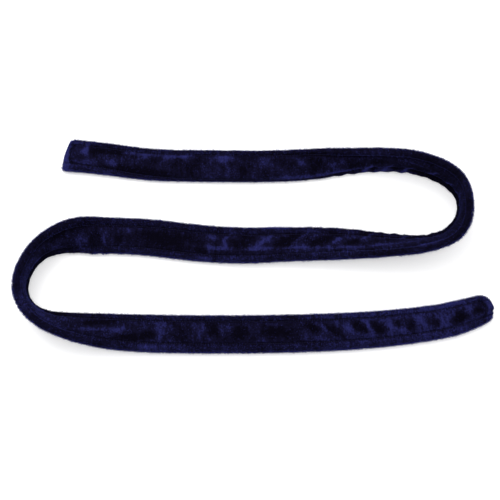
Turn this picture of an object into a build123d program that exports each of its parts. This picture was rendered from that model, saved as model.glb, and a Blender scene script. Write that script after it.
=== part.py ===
"""Flat velvet barrier rope, lying in a loose S on a flat surface. Millimetres, +Z up.

The band is two velvet plies sewn round their edges, turned right side out and topstitched all round.
Each ply is two strips joined across the middle. A soft interlining lies between the stitch rows, and
the turned-in seam allowances fill the plump rolled edges. Every section across the band keeps the
same outline, leaning up on edge where the band turns.
"""

from bisect import bisect_right
from math import atan, cos, degrees, pi, radians, sin, tan
import os

from build123d import *

os.makedirs("parts", exist_ok=True)

# Driving sizes of the band.
band_width = 50.0
edge_thickness = 10.0
face_crown = 8.6
velvet_thickness = 1.7
stitch_inset = 11.3
thread_width = 1.2
thread_height = 0.6
end_stitch_inset = 7.6
seam_thread_size = 0.6
edge_seam_inset = 1.1
lay_scale = 1.0
lay_middle = Vector(5.95, 10.89)

# The line that the middle of the band follows: x, y, lean in degrees and share of the full width.
# A lean of 90 stands the band on its edge with the left side of its travel up, -90 the right side.
route = [
    (-243, 134, 0, 0.9),
    (-192, 129, 0, 0.89),
    (-130, 119, 0, 0.88),
    (-50, 117, 0, 0.89),
    (20, 116, 0, 0.88),
    (75, 117, 18, 0.84),
    (120, 118, 58, 0.84),
    (165, 120, 78, 0.9),
    (218, 117, 82, 0.97),
    (264, 93, 85, 1),
    (278, 56, 84, 1),
    (266, 18, 70, 1),
    (224, 3, 54, 0.98),
    (170, 4, 40, 0.98),
    (110, 7, 22, 0.98),
    (50, 8, 10, 0.98),
    (-10, 6, 4, 0.98),
    (-70, 11, 0, 0.98),
    (-130, 19, 0, 0.98),
    (-185, 22, -2, 0.96),
    (-230, 16, -60, 0.95),
    (-267, -6, -80, 1),
    (-286, -40, -83, 1),
    (-284, -72, -80, 1),
    (-258, -96, -64, 1),
    (-215, -105, -32, 0.98),
    (-160, -109, -6, 0.97),
    (-90, -110, 0, 0.97),
    (-20, -110, 0, 0.97),
    (60, -109, 0, 0.97),
    (140, -106, 0, 0.97),
    (210, -99, 0, 0.94),
    (256, -90, 0, 0.91),
    (300, -78, 0, 0.89),
]

half_width = band_width / 2
half_edge = edge_thickness / 2
stitch_at = half_width - stitch_inset
seat_out = stitch_at + thread_width / 2
seat_in = stitch_at - thread_width / 2
top_seat = half_edge * 0.52
under_seat = half_edge * 0.76
crown = face_crown - half_edge + 0.7
seam_out = half_width - edge_seam_inset + seam_thread_size / 2
seam_in = half_width - edge_seam_inset - seam_thread_size / 2
seam_half = seam_thread_size / 2


# The route as straight runs joined by tangent arcs, in plan.
corners = [(Vector(x, y) - lay_middle) * lay_scale for x, y, lean, share in route]
radii = []
for before, corner, after in zip(corners, corners[1:], corners[2:]):
    turn = radians((corner - before).get_angle(after - corner))
    shorter = min((corner - before).length, (after - corner).length)
    radii.append(0.45 * shorter / tan(turn / 2))
middle_line = FilletPolyline(*corners, radius=radii)
print("turn radii", [round(radius) for radius in radii])

# Distances along the line at which the lean and the width are given: its ends and the arcs' middles.
known, marks, travelled = [0.0], [], 0.0
for edge in middle_line.order_edges():
    if edge.geom_type == GeomType.CIRCLE:
        known.append(travelled + edge.length / 2)
    if edge.geom_type == GeomType.LINE and edge.length > 12:
        marks.extend([travelled, travelled + edge.length])
    else:
        marks.append(travelled + edge.length / 2)
    travelled += edge.length
band_length = travelled
known.append(band_length)
print("band length", round(band_length, 1))


def given_at(distance, column):
    """The route's lean or width share at a distance along the line."""
    after = min(max(bisect_right(known, distance), 1), len(known) - 1)
    share = (distance - known[after - 1]) / (known[after] - known[after - 1])
    return route[after - 1][column] * (1 - share) + route[after][column] * share


def eased(distances):
    """The distances, with another between any two where the lean changes fast."""
    closer = [distances[0]]
    for before, after in zip(distances, distances[1:]):
        if abs(given_at(before, 2) - given_at(after, 2)) > 10:
            closer.append((before + after) / 2)
        closer.append(after)
    return closer


def both_sides(half):
    """A half outline from the left edge to the middle, carried on to the right edge."""
    return half + [(-across, up) for across, up in reversed(half) if across > 0.01]


top_outline = both_sides([
    (half_width, 0),
    (half_width - 1, half_edge * 0.64),
    (half_width - 4.2, half_edge),
    (half_width - 7.8, half_edge * 0.92),
    (seat_out, top_seat),
    (seat_in, top_seat),
    (stitch_at - 3.8, crown - 0.4),
    (0, crown),
])
under_outline = both_sides([
    (half_width, 0),
    (half_width - 1, -half_edge * 0.64),
    (half_width - 4.2, -half_edge),
    (seat_out + 1.7, -half_edge),
    (seat_out, -under_seat),
    (seat_in, -under_seat),
    (seat_in - 1.7, -half_edge),
    (0, -half_edge),
])
top_lining = both_sides([
    (seam_out, 0),
    (seam_out, seam_half),
    (seam_in, seam_half),
    (seam_in, 0),
    (seat_in, 0),
    (seat_in, top_seat - velvet_thickness),
    (stitch_at - 3.8, crown - 0.4 - velvet_thickness),
    (0, crown - velvet_thickness),
])
under_lining = both_sides([
    (seam_out, 0),
    (seam_out, -seam_half),
    (seam_in, -seam_half),
    (seam_in, 0),
    (seat_in, 0),
    (seat_in, velvet_thickness - under_seat),
    (seat_in - 1.7, velvet_thickness - half_edge),
    (0, velvet_thickness - half_edge),
])
interlining = both_sides(top_lining[5:8]) + both_sides(under_lining[5:8])[::-1]


def section(outline, distance, wide=1.0, thick=1.0):
    """The points of an outline across the band, at a distance along it and leaning as the band does."""
    lean = radians(given_at(distance, 2))
    wide = wide * given_at(distance, 3)
    whole = [(across * wide, up * thick) for across, up in top_outline + under_outline]
    height = half_edge if thick < 1 else -min(a * sin(lean) + u * cos(lean) for a, u in whole)
    start = middle_line.position_at(distance, position_mode=PositionMode.LENGTH)
    travel = middle_line.tangent_at(distance, position_mode=PositionMode.LENGTH)
    left = Vector(-travel.Y, travel.X).normalized()
    placed = []
    for across, up in outline:
        sideways = across * wide * cos(lean) - up * thick * sin(lean)
        upwards = across * wide * sin(lean) + up * thick * cos(lean)
        placed.append(start + left * sideways + Vector(0, 0, height + upwards))
    return placed


def skin(rings):
    """One solid whose skin is ruled from each ring of points to the next, closed at both ends."""
    faces = [Face(Wire.make_polygon(ring)) for ring in (rings[0], rings[-1])]
    for ring, following in zip(rings, rings[1:]):
        for corner in range(len(ring)):
            side = Edge.make_line(ring[corner - 1], ring[corner])
            next_side = Edge.make_line(following[corner - 1], following[corner])
            faces.append(Face.make_surface_from_curves(side, next_side))
    return Solid(Shell(faces))


def along(outline, distances):
    """One solid between the same outline at each of the distances."""
    return skin([section(outline, distance) for distance in distances])


def crossed_by_stitches(outline, seat):
    """The outline where the end row of stitches pulls the middle of the face down."""
    return [(across, seat if abs(across) < seat_in and abs(up) > abs(seat) else up)
            for across, up in outline]


def closed_end(outline, seat, from_end):
    """The outermost stretch of a ply, rounded over at the end and grooved under the end stitches."""
    row = (end_stitch_inset - thread_width / 2, end_stitch_inset + thread_width / 2)
    grooved = crossed_by_stitches(outline, seat)
    steps = [(0, outline, 0.84, 0.4), (1.2, outline, 0.95, 0.75), (3.6, outline, 1, 1),
             (row[0] - 1.8, outline, 1, 1), (row[0], grooved, 1, 1), (row[1], grooved, 1, 1),
             (row[1] + 1.8, outline, 1, 1)]
    at = [(abs(from_end - inset), shape, wide, thick) for inset, shape, wide, thick in steps]
    return skin([section(shape, place, wide, thick) for place, shape, wide, thick in at])


row_start = end_stitch_inset - thread_width / 2
row_end = end_stitch_inset + thread_width / 2
pocket = row_end + 1.8
halfway = band_length / 2
stops = [stop for stop in marks if pocket + 3 < stop < band_length - pocket - 3 and abs(stop - halfway) > 8]
first_stops = eased([pocket] + [stop for stop in stops if stop < halfway] + [halfway])
second_stops = eased([halfway] + [stop for stop in stops if stop > halfway] + [band_length - pocket])
all_stops = first_stops + second_stops[1:]
print("sections", len(all_stops))

# The four strips of velvet, each a little over its pile thick and solid where its seam allowance turns in.
made = {}
for side, outline, lining, seat in (("face", top_outline, top_lining, top_seat),
                                    ("back", under_outline, under_lining, -under_seat)):
    ply = outline + lining[::-1]
    first = along(ply, first_stops) + closed_end(outline, seat, 0)
    second = along(ply, second_stops) + closed_end(outline, seat, band_length)
    made[side + "_velvet_first_half"] = first
    made[side + "_velvet_second_half"] = second

# The seam that joins the two strips of each ply, inside the thickness of the velvet.
here = middle_line.position_at(halfway, position_mode=PositionMode.LENGTH)
travel = middle_line.tangent_at(halfway, position_mode=PositionMode.LENGTH)
tilt = given_at(halfway, 2)
across = Vector(-travel.Y, travel.X).normalized() * cos(radians(tilt)) + Vector(0, 0, sin(radians(tilt)))
wide = given_at(halfway, 3)
height = -min(a * wide * sin(radians(tilt)) + u * cos(radians(tilt)) for a, u in under_outline)
seam_plane = Plane(here + Vector(0, 0, height), x_dir=travel, z_dir=travel.cross(across))
for side, level in (("face", crown - 0.4 - velvet_thickness / 2), ("back", velvet_thickness / 2 - half_edge)):
    seam_width = 2 * (stitch_at - 4.5) * wide
    seam = seam_plane * Pos(0, 0, level) * Box(1.0, seam_width, seam_thread_size)
    for half in ("first", "second"):
        name = side + "_velvet_" + half + "_half"
        made[name] = made[name] - seam
    made[side + "_join_thread"] = seam

# The soft interlining between the stitch rows.
made["interlining"] = along(interlining, all_stops)

# The hidden seams along both edges, sewn before the band was turned.
for side, sign in (("left", 1), ("right", -1)):
    square = [(sign * seam_out, -seam_half), (sign * seam_out, seam_half),
              (sign * seam_in, seam_half), (sign * seam_in, -seam_half)]
    made[side + "_edge_seam_thread"] = along(square, all_stops)

# The topstitching: one unbroken row round the band in each of its two threads.
row_stops = [row_start, row_end] + all_stops + [band_length - row_end, band_length - row_start]
for name, low, high in (("topstitch_needle_thread", top_seat, top_seat + thread_height),
                        ("topstitch_bobbin_thread", -under_seat - thread_height, -under_seat)):
    rows = None
    for sign in (1, -1):
        strip = [(sign * seat_out, low), (sign * seat_out, high), (sign * seat_in, high), (sign * seat_in, low)]
        row = along(strip, row_stops)
        rows = row if rows is None else rows + row
    crossing = [(seat_in, low), (seat_in, high), (-seat_in, high), (-seat_in, low)]
    rows = rows + along(crossing, [row_start, row_end])
    rows = rows + along(crossing, [band_length - row_end, band_length - row_start])
    made[name] = rows

for name, solid in made.items():
    solid.label = name
    export_step(solid, "parts/" + name + ".step")
    print(name, "solids", len(solid.solids()), "volume", round(solid.volume), "valid", solid.is_valid)
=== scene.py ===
import math

import bpy
import numpy as np
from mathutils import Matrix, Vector, noise


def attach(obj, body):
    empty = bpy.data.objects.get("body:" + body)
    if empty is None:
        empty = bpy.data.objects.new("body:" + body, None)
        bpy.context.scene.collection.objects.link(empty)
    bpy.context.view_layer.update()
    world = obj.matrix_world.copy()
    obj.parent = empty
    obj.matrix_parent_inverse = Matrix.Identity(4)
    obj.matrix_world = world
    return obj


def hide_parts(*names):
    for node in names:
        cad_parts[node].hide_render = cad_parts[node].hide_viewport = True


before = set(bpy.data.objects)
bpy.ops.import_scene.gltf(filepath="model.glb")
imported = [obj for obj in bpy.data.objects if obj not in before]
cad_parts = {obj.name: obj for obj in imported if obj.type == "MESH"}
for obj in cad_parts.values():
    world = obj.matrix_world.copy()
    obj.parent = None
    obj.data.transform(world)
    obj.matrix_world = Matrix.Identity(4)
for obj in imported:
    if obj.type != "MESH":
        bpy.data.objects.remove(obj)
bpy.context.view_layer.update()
scene = bpy.context.scene

# The camera looks down on the lying band from in front, twenty degrees off straight down.
# A long lens keeps the near and far strands almost the same size.
look_at = Vector((-0.00595, -0.01089, 0.008))
camera_height = math.radians(70)
camera_distance = 1.5
camera_data = bpy.data.cameras.new("camera")
camera_data.lens = 85.0
camera_data.sensor_width = 36.0
camera = bpy.data.objects.new("camera", camera_data)
camera.location = look_at + camera_distance * Vector((0, -math.cos(camera_height), math.sin(camera_height)))
camera.rotation_euler = (look_at - camera.location).to_track_quat("-Z", "Y").to_euler()
scene.collection.objects.link(camera)
scene.camera = camera

# The line of the lying band. Limp velvet can't turn flat, so it stands up on its inner edge
# in both turns and lies flat between them. Each point is x, y, lean in degrees (90 has the
# left side of the travel straight up), share of the full width, how far the right edge roll
# is tucked under, how strongly the inner edge ripples and how crushed the face is.
half_width = 0.025
half_edge = 0.005
lay_middle = (0.00595, 0.01089)
route = [
    (-0.243, 0.134, 0, 0.9, 0, 0.1, 0.6),
    (-0.192, 0.129, 0, 0.89, 0.2, 0.1, 0.8),
    (-0.130, 0.119, 0, 0.88, 0.6, 0.1, 0.6),
    (-0.050, 0.118, 0, 0.89, 0.9, 0.1, 0.9),
    (0.020, 0.1174, 0, 0.87, 1, 0.1, 0.5),
    (0.075, 0.1172, 18, 0.815, 0.8, 0.3, 0.8),
    (0.120, 0.1176, 60, 0.79, 0.3, 0.7, 0.6),
    (0.165, 0.1202, 79, 0.87, 0, 1, 0.5),
    (0.2174, 0.1161, 83, 0.95, 0, 1, 0.5),
    (0.2646, 0.0928, 84, 1, 0, 0.8, 0.3),
    (0.2770, 0.057, 88, 1, 0, 0.3, 0.2),
    (0.2620, 0.0176, 61, 1, 0, 0.5, 0.3),
    (0.224, 0.003, 54, 0.98, 0, 1, 0.5),
    (0.170, 0.0036, 38, 0.97, 0, 0.7, 0.9),
    (0.110, 0.0076, 20, 1.01, 0, 0.5, 1),
    (0.050, 0.0079, 10, 0.96, 0, 0.3, 1),
    (-0.010, 0.006, 4, 0.98, 0, 0.2, 0.9),
    (-0.070, 0.0105, 0, 0.98, 0, 0.1, 0.5),
    (-0.130, 0.0189, 0, 0.98, 0, 0.1, 0.3),
    (-0.185, 0.0209, -2, 0.935, 0, 0.3, 0.6),
    (-0.2318, 0.0139, -61, 1, 0, 0.6, 0.6),
    (-0.2684, -0.0047, -86, 0.95, 0, 0.4, 0.4),
    (-0.2862, -0.040, -88, 0.96, 0, 0.3, 0.3),
    (-0.2826, -0.0716, -80, 1, 0, 0.3, 0.3),
    (-0.2573, -0.0950, -59, 1, 0, 0.3, 0.3),
    (-0.2148, -0.1043, -32, 0.98, 0, 0.2, 0.4),
    (-0.160, -0.1085, -6, 0.97, 0, 0.1, 0.7),
    (-0.090, -0.110, 0, 0.97, 0, 0.1, 0.7),
    (-0.020, -0.1103, 0, 0.965, 0, 0.1, 0.4),
    (0.060, -0.1091, 0, 0.965, 0, 0.1, 0.8),
    (0.140, -0.1056, 0, 0.935, 0, 0.2, 0.5),
    (0.210, -0.0983, 0, 0.895, 0, 0.2, 0.4),
    (0.256, -0.0896, 0, 0.87, 0, 0.2, 0.4),
    (0.300, -0.078, 0, 0.89, 0, 0.1, 0.4),
]


def spline_line(name, points):
    """The vertices along one smooth NURBS spline through the neighbourhood of its points."""
    curve = bpy.data.curves.new(name, "CURVE")
    curve.dimensions = "3D"
    curve.resolution_u = 40
    spline = curve.splines.new("NURBS")
    spline.points.add(len(points) - 1)
    for slot, point in zip(spline.points, points):
        slot.co = (*point, 1.0)
    spline.order_u = 3
    spline.use_endpoint_u = True
    holder = bpy.data.objects.new(name, curve)
    scene.collection.objects.link(holder)
    bpy.context.view_layer.update()
    mesh = bpy.data.meshes.new_from_object(holder)
    line = np.array([vertex.co for vertex in mesh.vertices], float)
    bpy.data.objects.remove(holder)
    bpy.data.meshes.remove(mesh)
    return line


def laid_height(lean, share):
    """How high the middle of the band is held by the edge that it stands on."""
    return half_edge + (half_width * share - half_edge) * abs(math.sin(math.radians(lean)))


middle = spline_line("band middle", [
    (x - lay_middle[0], y - lay_middle[1], laid_height(lean, share))
    for x, y, lean, share, tuck, ripple, crush in route])
leans = spline_line("band lean", [(point[2] / 100, point[3], point[4]) for point in route])
states = spline_line("band state", [(point[5], point[6], 0) for point in route])
steps = np.linalg.norm(np.diff(middle, axis=0), axis=1)
travelled = np.concatenate([[0.0], np.cumsum(steps)])
band_length = travelled[-1]

# The velvet band: face and back plies of cotton-backed velvet, sewn right sides together, turned
# out and topstitched about 11 mm in from the long edges. The turned-in allowances fill the edge
# rolls, the interlining lifts the face, and the pile lies brushed and crushed as it was handled.
stitch_at = 0.0137
end_stitch_at = 0.0076
end_row_bow = 0.0045
end_zone = 0.012
end_step = 0.0007
least_step = 0.0003
near_end = np.arange(0, end_zone, end_step)
stations = np.unique(np.concatenate([travelled, near_end, band_length - near_end]))
stations = stations[np.append(np.diff(stations) > least_step, True)]
rings = len(stations)
half_way = band_length / 2


def at_stations(values):
    """Values given along the spline, read at the stations."""
    return np.interp(stations, travelled, values)


centre = np.stack([at_stations(middle[:, axis]) for axis in range(3)], 1)
lean = np.radians(at_stations(leans[:, 0]) * 100)
share = at_stations(leans[:, 1])
right_tuck = np.clip(at_stations(leans[:, 2]), 0, 1)
flat_left_tuck = 0.22
left_tuck = flat_left_tuck * np.cos(lean) ** 2
ripple = at_stations(states[:, 0])
crush = at_stations(states[:, 1])
travel = np.stack([at_stations(np.gradient(middle[:, axis], travelled)) for axis in range(3)], 1)
travel[:, 2] = 0
travel /= np.linalg.norm(travel, axis=1)[:, None]
left = np.stack([-travel[:, 1], travel[:, 0], np.zeros(rings)], 1)
upright = np.array([0, 0, 1.0])
sideways = left * np.cos(lean)[:, None] + upright * np.sin(lean)[:, None]
facing = -left * np.sin(lean)[:, None] + upright * np.cos(lean)[:, None]


def whole_outline(face, back):
    """Half outlines of the face and back in mm, mirrored into one loop and doubled by smoothing."""
    loop = face + [(-a, u) for a, u in face[-2::-1]] + [(-a, u) for a, u in back]
    loop = np.array(loop + [(a, u) for a, u in back[-2::-1]], float) / 1000
    between = (np.roll(loop, -1, 0) + loop) * 9 / 16 - (np.roll(loop, 1, 0) + np.roll(loop, -2, 0)) / 16
    return np.stack([loop, between], 1).reshape(-1, 2)


# Across a lying band from its edge to its middle, and the same with the edge roll turned under.
# Both have as many points, and the edges and the stitch rows have the same numbers in both.
lying = whole_outline(
    [(24.6, 0), (23.9, 2.9), (21.6, 4.7), (18.4, 4.7), (15.7, 3.7), (13.7, 2.3), (11.8, 3.2), (8.6, 3.9),
     (4.4, 4.2), (0, 4.3)],
    [(23.9, -2.9), (21.7, -4.6), (18.6, -5.0), (15.7, -4.8), (13.7, -3.9), (11.8, -4.7), (8.6, -5.0),
     (4.4, -5.0), (0, -5.0)])
tucked = whole_outline(
    [(23.9, -3.2), (24.6, -2), (24.7, -0.8), (24.5, 0.3), (24, 0.9), (23.5, 1.2), (22.4, 2.3), (17.5, 3.9),
     (9, 4.4), (0, 4.5)],
    [(23.2, -4.4), (21, -5.0), (17.6, -5.0), (14.4, -4.8), (12, -3.9), (10.2, -4.7), (7.4, -5.0),
     (3.8, -5.0), (0, -5.0)])
count = len(lying)
across = lying[:, 0]
edge_left, row_left, row_right, edge_right = 0, 10, 26, 36
back_right, back_left = 46, 62

# The face is the top of the outline. Where the band lies, its edge rolls are tucked under.
top = np.arange(count) <= edge_right
tuck = np.where(across > 0, left_tuck[:, None], right_tuck[:, None])[:, :, None]
outline = lying + tuck * (tucked - lying)
outward = np.roll(outline, -1, 1) - np.roll(outline, 1, 1)
outward = np.stack([outward[:, :, 1], -outward[:, :, 0]], 2)
outward /= np.linalg.norm(outward, axis=2)[:, :, None]

# Where the pile of the face is brushed pale or pressed dark, with painted highlights and painted shade
# among the marks: distance along the band, across it (left is positive), half length, half breadth,
# turn in degrees towards the left, and shade.
brush_and_shade_marks = [
    # The first end and the top strand.
    (20, 0, 45, 26, 0, 0.3), (2, 0, 6, 30, 0, 1), (28, 10, 4, 10, 0, 1), (41, 8, 9, 8, 0, -1),
    (62, 9, 20, 5, 0, -0.9), (63, -6, 8, 4.5, 0, 0.9), (20, -4, 9, 5, 0, -0.4),
    (100, -10, 50, 6, 0, -0.9), (120, 12, 50, 3.5, 0, 0.5), (84, 11, 9, 4, 20, 0.5),
    (106, 8, 14, 4, 26, 0.6), (122, 3, 10, 4, 30, -0.5), (134, 8, 14, 4, 26, 0.6),
    (156, 11, 12, 4, 20, 0.6), (146, 2, 9, 4, 24, -0.5), (172, 1, 10, 7, 30, -0.5),
    (206, 9, 17, 7, 0, 0.9), (238, 0, 12, 10, 0, -0.3), (262, 3, 11, 8, 0, 0.4),
    (225, -18, 60, 3, 0, -0.4), (290, 4, 13, 9, 0, -0.3), (312, 2, 5, 4, 0, 0.6),
    (330, 3, 9, 9, 0, -0.7), (352, 0, 4, 5, 0, 0.6), (364, 3, 5, 5, 0, 0.5), (345, 15, 60, 4, 0, -0.5),
    # Painted highlights along the rippled lower edge, and painted highlight and shade on its ripples.
    (345, -12, 75, 3, 0, 1), (418, -21, 52, 6, 0, 1), (382, -3, 11, 8, 0, -0.6),
    (410, 1, 15, 6, 0, -0.6), (410, 22, 30, 3, 0, 0.5), (396, -15, 11, 2.4, 45, 1.5),
    (407, -14, 8, 2.5, 45, -0.8), (422, -15, 12, 2.4, 45, 1.5), (435, -13, 9, 2.5, 45, -0.8),
    (451, -14, 12, 2.4, 45, 1.5),
    # The right bend: painted shade on its standing inner face, crossed by painted highlights of its folds.
    (458, 4, 22, 1.6, -10, 0.8), (492, -1, 20, 1.6, -8, 0.6), (466, -6, 10, 5, 40, -0.7),
    (484, -7, 12, 2, 42, 1.9), (497, -8, 60, 14, 0, -0.8), (510, -9, 14, 2, 42, 1.9),
    (528, -8, 12, 2, 45, 1.7), (545, -7, 14, 2, -45, 1.7), (510, -16, 40, 5, 0, -0.5),
    (537, 24, 10, 3, 0, 0.5), (500, 20, 70, 5, 0, -0.3), (575, -4, 50, 22, 0, -0.4),
    (640, 12, 40, 8, 0, -0.25), (628, 18, 18, 5, 0, 0.8), (634, -21, 12, 4, 0, -1.1),
    (600, -5, 20, 9, 0, -0.2), (645, 0, 12, 1.5, 10, 0.6),
    # The middle strand.
    (760, 0, 140, 28, 0, 0.1), (657, -14, 12, 1.6, 42, 0.9), (690, 6, 26, 2, 6, 0.9),
    (738, 8, 26, 2, 0, 0.8), (790, 6.5, 28, 2, -2, 0.8), (845, 6, 28, 2, 0, 0.8),
    (895, 5.5, 22, 2, 0, 0.9), (672, -7, 10, 5, 24, -0.8), (692, -2, 8, 3.5, 20, -0.7),
    (706, -10, 14, 2.2, 40, 0.9), (722, 0, 12, 4, 26, -1), (708, -17, 10, 3, 20, -0.5),
    (741, -4, 13, 2.6, 40, 0.9), (762, -3, 18, 5.5, 24, -1.1), (787, -9, 14, 2.4, 38, 0.9),
    (806, -3, 18, 6, 24, -1.1), (835, -4, 15, 3.6, 36, 1), (815, -23, 34, 2.5, 0, 0.7),
    (862, -3, 13, 8, 12, -0.9), (883, -5, 3.5, 8, -12, 0.9), (901, -8, 7, 4, 10, 0.6),
    (873, -15, 12, 3, 0, 0.4), (760, 14, 60, 3, 0, 0.25), (800, 18, 12, 3, 0, -0.7),
    (908, 21, 14, 3, 0, 0.7), (906, 2, 4, 3, 0, 0.3), (915, 8, 9, 5, 0, -0.6), (932, 3, 6, 4, 0, 0.5),
    (960, 1, 40, 12, 0, -0.8), (1010, -7, 8, 4, 0, 0.5), (1022, 2, 8, 8, 0, -0.4),
    (1038, 3, 3, 9, 0, 0.7), (1053, 4, 8, 9, 0, -0.6), (1072, 6, 6.5, 9, 0, 0.8),
    (1106, 6, 8, 6, 0, 0.6), (1088, -12, 30, 6, 0, -0.5), (1140, 11, 9, 5, 0, 0.7),
    (1123, 5, 7, 6, 0, -0.5),
    # The left bend.
    (1190, 20, 60, 5, 0, -1), (1172, -3, 32, 7, 8, 0.4), (1160, 20, 60, 5, 0, -0.3),
    (1210, -23, 13, 3, 0, 0.8), (1216, 6, 12, 8, 0, 0.7), (1247, 14, 9, 5, 0, -1.1),
    (1258, 4, 8, 3.5, 0, 0.6), (1240, -8, 24, 4, -8, 0.35),
    # The bottom strand and the last end.
    (1380, 0, 45, 24, 0, 0.2), (1690, 0, 120, 30, 0, 0.5), (1292, 6, 14, 3.5, 12, -0.9),
    (1296, -3, 26, 2.2, 12, 0.7), (1313, 10, 12, 3, 8, -0.7), (1327, 1, 9, 4, 20, 0.9),
    (1346, -7, 26, 4.5, 6, -0.9), (1364, -2, 9, 5, 0, -0.9), (1378, 3, 7, 12, 0, 0.75),
    (1362, -20, 16, 3, 0, 0.7), (1404, 0, 11, 9, 0, -0.6), (1427, 4, 6, 8, 0, 0.45),
    (1442, 2, 7, 8, 0, -0.7), (1458, 2, 5, 8, 0, 0.25), (1478, 1, 11, 8, 0, -0.9),
    (1522, 1, 22, 7, 0, -0.9), (1567, 5, 9, 4.5, -35, -1), (1583, 3, 9, 3, -45, 0.45),
    (1594, 0, 14, 5, -36, -1.1), (1611, 4, 9, 4, -50, 0.5), (1627, 2, 10, 5.5, -50, -1),
    (1638, 3, 8, 2.6, -55, 0.5), (1650, -1, 11, 7, -48, -1.2), (1664, 3, 9, 3.5, -60, 0.5),
    (1675, 3, 6, 4.5, -50, -0.8), (1690, -2, 9, 6, -75, -1.1), (1704, 2, 9, 4.5, -65, 0.35),
    (1719, 1, 9, 7, -60, -0.65), (1732, -4, 8, 4.5, -50, 0.4), (1752, -2, 11, 7, 32, -1.3),
    (1765, 6, 6, 5, 0, 0.5), (1776, 1, 7, 6, 20, -1), (1789, 2, 6, 30, 0, 0.5),
    (1740, 18, 40, 4, 0, 0.5), (1640, 20, 60, 4, 0, 0.3),
]
along_mm, across_mm = stations[:, None] * 1000, across[None] * 1000


def unevenness(long_mm, wide_mm, slant, seed):
    """Soft noise over the band, of a size along it and across it, at every station and outline point."""
    face = [40 if upper else -40 for upper in top]
    return np.array([
        [noise.noise(((d + slant * a) / long_mm, a / wide_mm, seed + side))
         for a, side in zip(across_mm[0], face)]
        for d in along_mm[:, 0]])


soft = unevenness(24, 13, 0.8, 0)
small = unevenness(8, 7, 0.5, 7)
grain = unevenness(2.2, 2.2, 0, 19)
pucker = unevenness(3.4, 14, 0, 31)
folds = unevenness(9, 22, 0.7, 90)
stray_mm = 7 * unevenness(11, 9, 0.4, 53)
drift_mm = 5 * unevenness(7, 6, -0.4, 71)

# Each mark is an oval with a soft edge. Broad ones stray at the edge, narrow creases stay crisp.
shade = np.zeros((rings, count))
for distance, side, half_length, half_breadth, turn, strength in brush_and_shade_marks:
    cosine = math.cos(math.radians(turn))
    sine = math.sin(math.radians(turn))
    loose = min(1, max(0, half_breadth - 2) / 6)
    forward = along_mm + loose * stray_mm - distance
    leftward = across_mm + loose * drift_mm - side
    lengthwise = (forward * cosine + leftward * sine) / half_length
    crosswise = (leftward * cosine - forward * sine) / half_breadth
    shade += strength * np.exp(-(lengthwise ** 2 + crosswise ** 2) ** 1.6)
shade *= top


def nearness(distance, reach):
    """1 at no distance, falling off softly to almost nothing at twice the reach."""
    return np.exp(-(distance / reach) ** 2)


# Where the face is, how near the stitch rows, the inner edge of a bend and the cross seam are.
pucker_reach = 0.0042
row_reach = 0.0011
join_reach = 0.0009
face_margin = 0.002
on_face = np.clip((stitch_at - np.abs(across)) / face_margin, 0, 1)
by_row = nearness(np.abs(across) - stitch_at, pucker_reach)
in_row = nearness(np.abs(across) - stitch_at, row_reach)
inner = np.clip(-across[None] * np.sign(lean)[:, None] / half_width + 0.25, 0, 1.25) ** 1.5
join = nearness(stations - half_way, join_reach)[:, None]

# How far the skin stands off its outline: the crushed face, the grain of the pile, the puckers
# along the rows, the brushed marks, the sunk cross seam and the folds of a rippled inner edge.
crushed_relief = 0.0008
dented_relief = 0.0004
grain_relief = 0.00012
pucker_relief = 0.0004
brushed_relief = 0.0005
join_depth = 0.0006
fold_relief = 0.0014
push = crush[:, None] * (crushed_relief * soft * (0.35 + 0.65 * on_face) + dented_relief * small)
push += grain_relief * grain + pucker_relief * pucker * by_row + brushed_relief * shade - join_depth * join
push += fold_relief * ripple[:, None] * inner * folds * np.where(top, 1, -0.6)

# Both ends: closed over by the end seam, with the corners rounded and the end row pulled down.
from_start, from_finish = stations[:, None], band_length - stations[:, None]
from_end = np.minimum(from_start, from_finish)


def rounded(distance, radius):
    """The share of the half width that a rounded corner leaves, at a distance from the end."""
    inside = np.clip(1 - distance / radius, 0, 1)
    return 1 - radius / half_width * (1 - np.sqrt(1 - inside ** 2))


# The radius of each corner, and from how far back each side narrows towards the second end.
start_left_corner, start_right_corner = 0.012, 0.005
finish_left_corner, finish_right_corner = 0.014, 0.01
left_taper, right_taper = 0.12, 0.05
left_share = rounded(from_start, start_left_corner) * rounded(from_finish, finish_left_corner)
right_share = rounded(from_start, start_right_corner) * rounded(from_finish, finish_right_corner)
right_share *= 1 - 0.4 * np.clip(1 - from_finish / right_taper, 0, 1) ** 1.3
left_share *= 1 - 0.06 * np.clip(1 - from_finish / left_taper, 0, 1)
end_rounding = 0.0045
end_row_reach = 0.0013
face_pull, back_pull = -0.0021, 0.0011
closing = np.clip(1 - from_end / end_rounding, 0, 1)
thick_share = 1 - 0.75 * (1 - np.sqrt(1 - closing ** 2))
end_stitch = end_stitch_at + end_row_bow * (np.minimum(np.abs(across), stitch_at) / stitch_at) ** 2
end_row = nearness(from_end - end_stitch, end_row_reach)
within_rows = np.clip((stitch_at + 0.001 - np.abs(across)) / face_margin, 0, 1)
pulled = within_rows * end_row * np.where(top, face_pull, back_pull)
wide = outline[:, :, 0] * share[:, None] * np.where(across > 0, left_share, right_share)
thick = outline[:, :, 1] * thick_share + pulled
wide = wide + outward[:, :, 0] * push * (1 - closing)
thick = thick + outward[:, :, 1] * push * (1 - closing)

# How far each end runs on along the band: askew, bowed, and with one dent in the second end.
end_fade = 0.012
dent_depth, dent_at, dent_reach, dent_fade = 0.003, -0.007, 0.004, 0.005
leftness = across[None] / half_width
middleness = 1 - leftness ** 2
slide = (0.0018 * (1 + leftness) - 0.0016 * middleness - 0.0008) * np.exp(-from_start / end_fade)
slide += (0.0023 * (1 + leftness) + 0.0038 * middleness) * np.exp(-from_finish / end_fade)
slide -= dent_depth * nearness(across[None] - dent_at, dent_reach) * np.exp(-from_finish / dent_fade)

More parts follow.
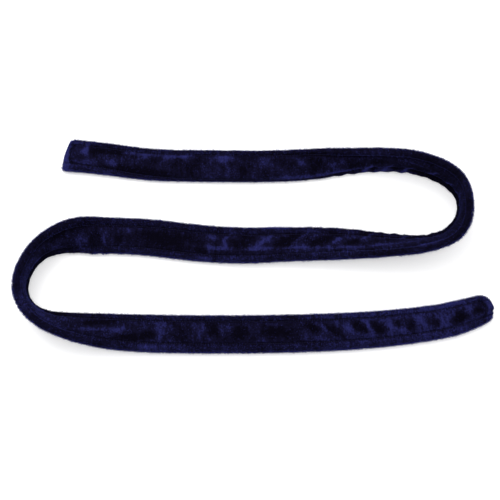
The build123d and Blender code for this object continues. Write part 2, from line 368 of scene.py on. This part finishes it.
# The skin of the band, let down until it lies on the table all along.
ground_line = centre * (1, 1, 0)
points = ground_line[:, None] + wide[:, :, None] * sideways[:, None] + thick[:, :, None] * facing[:, None]
points += slide[:, :, None] * travel[:, None]
pressed_in = 0.0004
off_table = 0.00002
lowest = points[:, :, 2].min(1) + pressed_in
evened = 9
drop = np.convolve(np.pad(lowest, evened // 2, "edge"), np.ones(evened) / evened, "valid")
points[:, :, 2] -= drop[:, None]
points[:, :, 2] = np.maximum(points[:, :, 2], off_table * np.abs(across) / half_width)
normals = outward[:, :, :1] * sideways[:, None] + outward[:, :, 1:] * facing[:, None]

# How the pile is brushed, from 0 pressed dark to 1 raised pale, with painted shade and a painted
# sheen laid into the same value, and where its ends stand off.
unmarked = 0.41
roll_shade_and_sheen = 0.16
row_shadow, join_shadow, end_row_shadow = 0.42, 0.3, 0.5
brushed = unmarked + 0.5 * shade + crush[:, None] * (0.24 * soft + 0.22 * small)
brushed = brushed + 0.2 * grain + 0.22 * pucker
on_roll = np.clip((np.abs(across) - stitch_at) / 0.003, 0, 1)
# Painted shade on the edge rolls where the band stands up, and a painted sheen on the rolls of the back.
brushed -= roll_shade_and_sheen * on_roll * np.abs(np.sin(lean))[:, None]
brushed += roll_shade_and_sheen * on_roll * np.where(top, 0, 1)
# Painted shade in the stitch rows, in the cross seam and along the end rows.
brushed -= row_shadow * in_row + join_shadow * join + end_row_shadow * end_row * on_face
brushed = np.clip(brushed, 0, 1)
upness = normals[:, :, 2]
# The pale tufts, a painted sheen, gather on the sides of the rolls and thin out on standing faces.
fuzz = on_roll * np.clip(1.15 - 1.5 * np.abs(upness), 0.12, 1) * np.clip(1 + 2 * upness, 0, 1)
fuzz *= 1 - 0.95 * top * np.abs(np.sin(lean))[:, None]
bare_below, full_above = 0.0012, 0.0032
fuzz = np.maximum(fuzz, 0.02 * top)
fuzz *= np.clip((points[:, :, 2] - bare_below) / (full_above - bare_below), 0, 1)


def tube_faces(rings, count):
    """The quads of a closed tube of rings, with a fan to one more point at each end."""
    faces = []
    for ring in range(rings - 1):
        here = ring * count
        there = here + count
        for k in range(count):
            n = (k + 1) % count
            faces.append((here + k, here + n, there + n, there + k))
    for k in range(count):
        n = (k + 1) % count
        faces.append((rings * count, n, k))
        faces.append((rings * count + 1, (rings - 1) * count + k, (rings - 1) * count + n))
    return faces


def swept(name, points, **values):
    """A closed smooth mesh over rings of points, with a named value at each point."""
    rings, count = points.shape[:2]
    mesh = bpy.data.meshes.new(name)
    ends = [points[0].mean(0), points[-1].mean(0)]
    mesh.from_pydata(np.vstack([points.reshape(-1, 3), ends]).tolist(), [], tube_faces(rings, count))
    for value_name, value in values.items():
        layer = mesh.attributes.new(value_name, "FLOAT", "POINT")
        value = np.append(value.ravel(), [value[0].mean(), value[-1].mean()])
        layer.data.foreach_set("value", value.astype(np.float32))
    mesh.polygons.foreach_set("use_smooth", [True] * len(mesh.polygons))
    return mesh


def placed(name, mesh, material):
    """An object of a mesh that already holds its place, with its material."""
    piece = bpy.data.objects.new(name, mesh)
    scene.collection.objects.link(piece)
    mesh.materials.clear()
    mesh.materials.append(material)
    return piece


def nap_group():
    """Colours and height of velvet pile: pressed, lying or brushed up, with a speckle of fibre ends."""
    group = bpy.data.node_groups.new("velvet_nap", "ShaderNodeTree")
    group.interface.new_socket("Nap and shade", in_out="INPUT", socket_type="NodeSocketFloat")
    for name in ("Pressed", "Lying", "Raised"):
        group.interface.new_socket(name, in_out="INPUT", socket_type="NodeSocketColor")
    group.interface.new_socket("Speckle", in_out="INPUT", socket_type="NodeSocketFloat")
    group.interface.new_socket("Color", in_out="OUTPUT", socket_type="NodeSocketColor")
    group.interface.new_socket("Height", in_out="OUTPUT", socket_type="NodeSocketFloat")
    given = group.nodes.new("NodeGroupInput")
    result = group.nodes.new("NodeGroupOutput")
    place = group.nodes.new("ShaderNodeTexCoord")
    fibres = group.nodes.new("ShaderNodeTexNoise")
    fibres.inputs["Scale"].default_value = 520
    fibres.inputs["Detail"].default_value = 3
    group.links.new(place.outputs["Object"], fibres.inputs["Vector"])
    centred = group.nodes.new("ShaderNodeMath")
    centred.operation = "SUBTRACT"
    centred.inputs[1].default_value = 0.5
    group.links.new(fibres.outputs["Fac"], centred.inputs[0])
    speckled = group.nodes.new("ShaderNodeMath")
    speckled.operation = "MULTIPLY_ADD"
    group.links.new(centred.outputs[0], speckled.inputs[0])
    group.links.new(given.outputs["Speckle"], speckled.inputs[1])
    group.links.new(given.outputs["Nap and shade"], speckled.inputs[2])
    colour = given.outputs["Pressed"]
    for start, end, name in ((0.1, 0.5, "Lying"), (0.5, 1.0, "Raised")):
        reach = group.nodes.new("ShaderNodeMapRange")
        reach.inputs["From Min"].default_value = start
        reach.inputs["From Max"].default_value = end
        group.links.new(speckled.outputs[0], reach.inputs["Value"])
        mix = group.nodes.new("ShaderNodeMix")
        mix.data_type = "RGBA"
        group.links.new(reach.outputs["Result"], mix.inputs["Factor"])
        group.links.new(colour, mix.inputs[6])
        group.links.new(given.outputs[name], mix.inputs[7])
        colour = mix.outputs[2]
    group.links.new(colour, result.inputs["Color"])
    group.links.new(fibres.outputs["Fac"], result.inputs["Height"])
    return group


velvet_nap = nap_group()


def pile_material(name, pressed, lying_colour, raised, speckle):
    """Navy velvet pile in one of its depths, read from how the pile is brushed and the painted shade and
    sheen in it.
    """
    material = bpy.data.materials.new(name)
    material.use_nodes = True
    tree = material.node_tree
    shader = tree.nodes["Principled BSDF"]
    shader.inputs["Roughness"].default_value = 1.0
    shader.inputs["Specular IOR Level"].default_value = 0.015
    shader.inputs["Sheen Weight"].default_value = 0.27
    shader.inputs["Sheen Roughness"].default_value = 0.3
    shader.inputs["Sheen Tint"].default_value = (0.05, 0.06, 0.45, 1)
    reading = tree.nodes.new("ShaderNodeAttribute")
    reading.attribute_name = "brushed"
    nap = tree.nodes.new("ShaderNodeGroup")
    nap.node_tree = velvet_nap
    nap.inputs["Pressed"].default_value = (*pressed, 1)
    nap.inputs["Lying"].default_value = (*lying_colour, 1)
    nap.inputs["Raised"].default_value = (*raised, 1)
    nap.inputs["Speckle"].default_value = speckle
    bump = tree.nodes.new("ShaderNodeBump")
    bump.inputs["Strength"].default_value = 0.5
    bump.inputs["Distance"].default_value = 0.0007
    tree.links.new(reading.outputs["Fac"], nap.inputs["Nap and shade"])
    tree.links.new(nap.outputs["Color"], shader.inputs["Base Color"])
    tree.links.new(nap.outputs["Height"], bump.inputs["Height"])
    tree.links.new(bump.outputs["Normal"], shader.inputs["Normal"])
    return material


navy_velvet = pile_material("navy_velvet", (0.0017, 0.0013, 0.0043), (0.0043, 0.0038, 0.0155),
                            (0.0158, 0.0166, 0.086), 1.1)
velvet_band = placed("velvet_band", swept("velvet_band", points, brushed=brushed, fuzz=fuzz,
                                          along=stations[:, None] * np.ones((1, count))), navy_velvet)
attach(velvet_band, "root")
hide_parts("face_velvet_first_half", "face_velvet_second_half",
            "back_velvet_first_half", "back_velvet_second_half")

# The ends of the pile that stand off the rolled edges as a soft rim. Their colours are paler than the
# band's, a painted sheen. Each is a tuft of cotton fibre, woven into the backing and sheared short.


def socket(tree, name, kind, in_out="INPUT"):
    """A named input or output of a geometry tree."""
    return tree.interface.new_socket(name, in_out=in_out, socket_type="NodeSocket" + kind)


def grown(name, tree, source, material, **values):
    """The mesh that a tree makes from a source mesh, with its inputs set by their identifiers."""
    holder = bpy.data.objects.new(name + " source", source)
    scene.collection.objects.link(holder)
    modifier = holder.modifiers.new(name, "NODES")
    modifier.node_group = tree
    given = {item.name: item.identifier for item in tree.interface.items_tree if item.in_out == "INPUT"}
    for value_name, value in values.items():
        modifier[given[value_name]] = value
    modifier[given["Material"]] = material
    depsgraph = bpy.context.evaluated_depsgraph_get()
    mesh = bpy.data.meshes.new_from_object(holder.evaluated_get(depsgraph), depsgraph=depsgraph)
    mesh.name = name
    bpy.data.objects.remove(holder)
    return placed(name, mesh, material)


def map_in_cells(mesh, corners):
    """A map that gives each tuft a small cell of its own, because its faces are too small to unwrap."""
    corner = np.arange(len(mesh.loops))
    tuft = corner // corners
    cells = math.ceil(math.sqrt(tuft[-1] + 1))
    margin, side = 0.15, 0.7
    along_cell = tuft % cells + margin + side * (corner % 3 == 1)
    up_cell = tuft // cells + margin + side * (corner % 3 == 2)
    spots = np.stack([along_cell, up_cell], 1) / cells
    mesh.uv_layers.new(name="OFBake").data.foreach_set("uv", spots.ravel().astype(np.float32))


def pile_tree():
    """Tufts over a stretch of the band: how many, how long and thick they are, and how they stray."""
    tree = bpy.data.node_groups.new("pile_tufts", "GeometryNodeTree")
    socket(tree, "Cloth", "Geometry")
    for name in ("Start", "End", "Density", "Length", "Thickness", "Stray"):
        socket(tree, name, "Float")
    socket(tree, "Seed", "Int")
    socket(tree, "Material", "Material")
    socket(tree, "Tufts", "Geometry", "OUTPUT")
    node, link = tree.nodes.new, tree.links.new
    given = node("NodeGroupInput")
    along = node("GeometryNodeInputNamedAttribute")
    along.data_type = "FLOAT"
    along.inputs["Name"].default_value = "along"
    thick = node("GeometryNodeInputNamedAttribute")
    thick.data_type = "FLOAT"
    thick.inputs["Name"].default_value = "fuzz"
    past = node("FunctionNodeCompare")
    past.operation = "GREATER_EQUAL"
    link(along.outputs["Attribute"], past.inputs["A"])
    link(given.outputs["Start"], past.inputs["B"])
    short = node("FunctionNodeCompare")
    short.operation = "LESS_THAN"
    link(along.outputs["Attribute"], short.inputs["A"])
    link(given.outputs["End"], short.inputs["B"])
    stretch = node("FunctionNodeBooleanMath")
    link(past.outputs["Result"], stretch.inputs[0])
    link(short.outputs["Result"], stretch.inputs[1])
    density = node("ShaderNodeMath")
    density.operation = "MULTIPLY"
    link(thick.outputs["Attribute"], density.inputs[0])
    link(given.outputs["Density"], density.inputs[1])
    scatter = node("GeometryNodeDistributePointsOnFaces")
    link(given.outputs["Cloth"], scatter.inputs["Mesh"])
    link(stretch.outputs["Boolean"], scatter.inputs["Selection"])
    link(density.outputs[0], scatter.inputs["Density"])
    link(given.outputs["Seed"], scatter.inputs["Seed"])
    straying = node("FunctionNodeRandomValue")
    straying.data_type = "FLOAT_VECTOR"
    straying.inputs["Min"].default_value = (-1, -1, -1)
    straying.inputs["Max"].default_value = (1, 1, 1)
    scaled = node("ShaderNodeVectorMath")
    scaled.operation = "SCALE"
    link(straying.outputs["Value"], scaled.inputs[0])
    link(given.outputs["Stray"], scaled.inputs["Scale"])
    aimed = node("ShaderNodeVectorMath")
    link(scatter.outputs["Normal"], aimed.inputs[0])
    link(scaled.outputs["Vector"], aimed.inputs[1])
    turned = node("FunctionNodeAlignRotationToVector")
    turned.axis = "Z"
    link(aimed.outputs["Vector"], turned.inputs["Vector"])
    tuft = node("GeometryNodeMeshCone")
    tuft.inputs["Vertices"].default_value = 3
    tuft.inputs["Radius Top"].default_value = 0
    link(given.outputs["Thickness"], tuft.inputs["Radius Bottom"])
    link(given.outputs["Length"], tuft.inputs["Depth"])
    grown_to = node("FunctionNodeRandomValue")
    grown_to.inputs[2].default_value = 0.4
    grown_to.inputs[3].default_value = 1.3
    each = node("GeometryNodeInstanceOnPoints")
    link(scatter.outputs["Points"], each.inputs["Points"])
    link(tuft.outputs["Mesh"], each.inputs["Instance"])
    link(turned.outputs["Rotation"], each.inputs["Rotation"])
    link(grown_to.outputs[1], each.inputs["Scale"])
    real = node("GeometryNodeRealizeInstances")
    link(each.outputs["Instances"], real.inputs["Geometry"])
    coloured = node("GeometryNodeSetMaterial")
    link(real.outputs["Geometry"], coloured.inputs["Geometry"])
    link(given.outputs["Material"], coloured.inputs["Material"])
    link(coloured.outputs["Geometry"], node("NodeGroupOutput").inputs["Tufts"])
    return tree


pale_tuft_sheen = pile_material("navy_pile_ends_painted_sheen", (0.013, 0.013, 0.068), (0.03, 0.032, 0.16),
                          (0.04, 0.043, 0.23), 0.5)
pile_tufts = pile_tree()
corners_of_a_tuft = 12
well_before, well_past = -1.0, 9.0
tufts = [grown(name, pile_tufts, velvet_band.data, pale_tuft_sheen, Start=start, End=end, Density=2.4e6,
               Length=0.0024, Thickness=0.00024, Stray=0.6, Seed=seed)
         for name, start, end, seed in (("pile_ends_first_half", well_before, half_way, 3),
                                        ("pile_ends_second_half", half_way, well_past, 4))]
for piece in tufts:
    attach(piece, "root")
    map_in_cells(piece.data, corners_of_a_tuft)

# The sewing: a lockstitched row round the band on the face and on the back, the seam across the
# middle of each ply, and the hidden seam in each edge, all in navy polyester thread.


def stitch_tree():
    """Stitches end to end along a row: their pitch, their length and the thickness of the thread."""
    tree = bpy.data.node_groups.new("stitch_row", "GeometryNodeTree")
    socket(tree, "Row", "Geometry")
    for name in ("Pitch", "Length", "Thickness"):
        socket(tree, name, "Float")
    socket(tree, "Material", "Material")
    socket(tree, "Stitches", "Geometry", "OUTPUT")
    node, link = tree.nodes.new, tree.links.new
    given = node("NodeGroupInput")
    path = node("GeometryNodeMeshToCurve")
    link(given.outputs["Row"], path.inputs["Mesh"])
    spaced = node("GeometryNodeCurveToPoints")
    spaced.mode = "LENGTH"
    link(path.outputs["Curve"], spaced.inputs["Curve"])
    link(given.outputs["Pitch"], spaced.inputs["Length"])
    turned = node("FunctionNodeAlignRotationToVector")
    turned.axis = "Z"
    link(spaced.outputs["Tangent"], turned.inputs["Vector"])
    size = node("ShaderNodeCombineXYZ")
    link(given.outputs["Thickness"], size.inputs["X"])
    link(given.outputs["Thickness"], size.inputs["Y"])
    link(given.outputs["Length"], size.inputs["Z"])
    stitch = node("GeometryNodeMeshUVSphere")
    stitch.inputs["Segments"].default_value = 8
    stitch.inputs["Rings"].default_value = 5
    stitch.inputs["Radius"].default_value = 0.5
    each = node("GeometryNodeInstanceOnPoints")
    link(spaced.outputs["Points"], each.inputs["Points"])
    link(stitch.outputs["Mesh"], each.inputs["Instance"])
    link(turned.outputs["Rotation"], each.inputs["Rotation"])
    link(size.outputs["Vector"], each.inputs["Scale"])
    real = node("GeometryNodeRealizeInstances")
    link(each.outputs["Instances"], real.inputs["Geometry"])
    coloured = node("GeometryNodeSetMaterial")
    link(real.outputs["Geometry"], coloured.inputs["Geometry"])
    link(given.outputs["Material"], coloured.inputs["Material"])
    link(coloured.outputs["Geometry"], node("NodeGroupOutput").inputs["Stitches"])
    return tree


def thread_material():
    """Navy polyester sewing thread: a faint shine and the twist of its plies."""
    material = bpy.data.materials.new("navy_thread")
    material.use_nodes = True
    tree = material.node_tree
    shader = tree.nodes["Principled BSDF"]
    shader.inputs["Roughness"].default_value = 0.7
    shader.inputs["Specular IOR Level"].default_value = 0.08
    place = tree.nodes.new("ShaderNodeTexCoord")
    twist = tree.nodes.new("ShaderNodeTexWave")
    twist.bands_direction = "DIAGONAL"
    twist.inputs["Scale"].default_value = 900
    colour = tree.nodes.new("ShaderNodeMix")
    colour.data_type = "RGBA"
    colour.inputs[6].default_value = (0.005, 0.0045, 0.021, 1)
    colour.inputs[7].default_value = (0.013, 0.0125, 0.054, 1)
    bump = tree.nodes.new("ShaderNodeBump")
    bump.inputs["Strength"].default_value = 0.6
    bump.inputs["Distance"].default_value = 0.0002
    tree.links.new(place.outputs["Object"], twist.inputs["Vector"])
    tree.links.new(twist.outputs["Fac"], colour.inputs["Factor"])
    tree.links.new(twist.outputs["Fac"], bump.inputs["Height"])
    tree.links.new(colour.outputs[2], shader.inputs["Base Color"])
    tree.links.new(bump.outputs["Normal"], shader.inputs["Normal"])
    return material


stitch_row = stitch_tree()
navy_thread = thread_material()


def ring_near(distance):
    """The ring of the band nearest to a distance from its start."""
    return int(np.argmin(np.abs(stations - distance)))


def sewn(name, node, spots, lift, closed, pitch, length, thickness):
    """A row of stitches through spots of the band's skin, lifted off it or sunk into it."""
    row = np.array([points[ring, k] + normals[ring, k] * lift for ring, k in spots])
    joints = [(index, index + 1) for index in range(len(row) - 1)]
    if closed:
        joints.append((len(row) - 1, 0))
    mesh = bpy.data.meshes.new(name + " row")
    mesh.from_pydata(row.tolist(), joints, [])
    piece = grown(name, stitch_row, mesh, navy_thread, Pitch=pitch, Length=length, Thickness=thickness)
    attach(piece, "root")
    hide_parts(node)
    return piece


def round_the_band(near_left, near_right):
    """The spots of a row up the left side, across the end, back down the right and across the start."""
    step = 1 if near_right > near_left else -1
    over = range(near_left, near_right + step, step)
    start = ring_near(end_stitch[near_left]) + 1
    finish = ring_near(band_length - end_stitch[near_left])
    return ([(ring, near_left) for ring in range(start, finish)]
            + [(ring_near(band_length - end_stitch[k]), k) for k in over]
            + [(ring, near_right) for ring in range(finish - 1, start - 1, -1)]
            + [(ring_near(end_stitch[k]), k) for k in reversed(over)])


middle_ring = ring_near(half_way)
whole_way = range(ring_near(end_stitch_at), ring_near(band_length - end_stitch_at) + 1)
face_join = [(middle_ring, k) for k in range(row_left + 4, row_right - 3)]
back_join = [(middle_ring, k) for k in range(back_right + 4, back_left - 3)]

# How far each row lies off the skin, and the pitch, length and thickness of its stitches.
on_skin, sunk, inside = 0.0001, -0.001, -0.0012
topstitch = (0.003, 0.0026, 0.0006)
seam_stitch = (0.0025, 0.0022, 0.0006)
sewing = [
    sewn("needle_topstitching", "topstitch_needle_thread", round_the_band(row_left, row_right),
         on_skin, True, *topstitch),
    sewn("bobbin_topstitching", "topstitch_bobbin_thread", round_the_band(back_left, back_right),
         on_skin, True, *topstitch),
    sewn("face_join_stitches", "face_join_thread", face_join, sunk, False, *seam_stitch),
    sewn("back_join_stitches", "back_join_thread", back_join, sunk, False, *seam_stitch),
    sewn("left_seam_stitches", "left_edge_seam_thread", [(ring, edge_left) for ring in whole_way],
         inside, False, *seam_stitch),
    sewn("right_seam_stitches", "right_edge_seam_thread", [(ring, edge_right) for ring in whole_way],
         inside, False, *seam_stitch),
]

# The interlining: a strip of soft white wadding laid between the plies before they are
# topstitched. It stops short of both ends, and only the stitch rows hold it.
lining_outline = np.array([
    (12.6, 0), (9.5, 1.6), (4.8, 2.1), (0, 2.2), (-4.8, 2.1), (-9.5, 1.6), (-12.6, 0),
    (-12.6, -1.9), (-11.2, -3.2), (-5, -3.3), (0, -3.3), (5, -3.3), (11.2, -3.2), (12.6, -1.9)]) / 1000
lining_end = 0.014
rings_apart = 4
lined = np.arange(ring_near(lining_end), ring_near(band_length - lining_end), rings_apart)
lining_points = (ground_line[lined, None]
                 + (lining_outline[:, :1] * sideways[lined, None]) * share[lined, None, None]
                 + lining_outline[:, 1:] * facing[lined, None])
lining_points[:, :, 2] -= drop[lined, None]
wadding = bpy.data.materials.new("white_wadding")
wadding.use_nodes = True
tree = wadding.node_tree
shader = tree.nodes["Principled BSDF"]
shader.inputs["Roughness"].default_value = 0.95
place = tree.nodes.new("ShaderNodeTexCoord")
felted = tree.nodes.new("ShaderNodeTexNoise")
felted.inputs["Scale"].default_value = 260
felted.inputs["Detail"].default_value = 6
clouded = tree.nodes.new("ShaderNodeMix")
clouded.data_type = "RGBA"
clouded.inputs[6].default_value = (0.62, 0.6, 0.55, 1)
clouded.inputs[7].default_value = (0.86, 0.85, 0.82, 1)
tree.links.new(place.outputs["Object"], felted.inputs["Vector"])
tree.links.new(felted.outputs["Fac"], clouded.inputs["Factor"])
tree.links.new(clouded.outputs[2], shader.inputs["Base Color"])
soft_interlining = placed("soft_interlining", swept("soft_interlining", lining_points), wadding)
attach(soft_interlining, "root")
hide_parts("interlining")

# A plain white table top under even light from all round and a large panel above and behind.
half_table = 3
table_height = -0.0004
table_corners = [(x * half_table, y * half_table, table_height)
                 for x, y in ((-1, -1), (1, -1), (1, 1), (-1, 1))]
table_mesh = bpy.data.meshes.new("table_top")
table_mesh.from_pydata(table_corners, [], [(0, 1, 2, 3)])
paper = bpy.data.materials.new("white_paper")
paper.use_nodes = True
shader = paper.node_tree.nodes["Principled BSDF"]
shader.inputs["Base Color"].default_value = (0.92, 0.92, 0.93, 1)
shader.inputs["Roughness"].default_value = 0.9
shader.inputs["Emission Color"].default_value = (1, 1, 1, 1)
shader.inputs["Emission Strength"].default_value = 0.3
table_top = placed("table_top", table_mesh, paper)
world = bpy.data.worlds.new("studio")
scene.world = world
world.use_nodes = True
backdrop = world.node_tree.nodes["Background"]
backdrop.inputs["Color"].default_value = (1, 1, 1, 1)
backdrop.inputs["Strength"].default_value = 1.05
panel_data = bpy.data.lights.new("panel", "AREA")
panel_data.shape = "RECTANGLE"
panel_data.size = 1.6
panel_data.size_y = 1.0
panel_data.energy = 16
panel = bpy.data.objects.new("panel", panel_data)
panel.location = (-0.5, 0.9, 1.3)
panel.rotation_euler = (Vector((0, 0, 0)) - Vector(panel.location)).to_track_quat("-Z", "Y").to_euler()
scene.collection.objects.link(panel)
scene.view_settings.view_transform = "Standard"
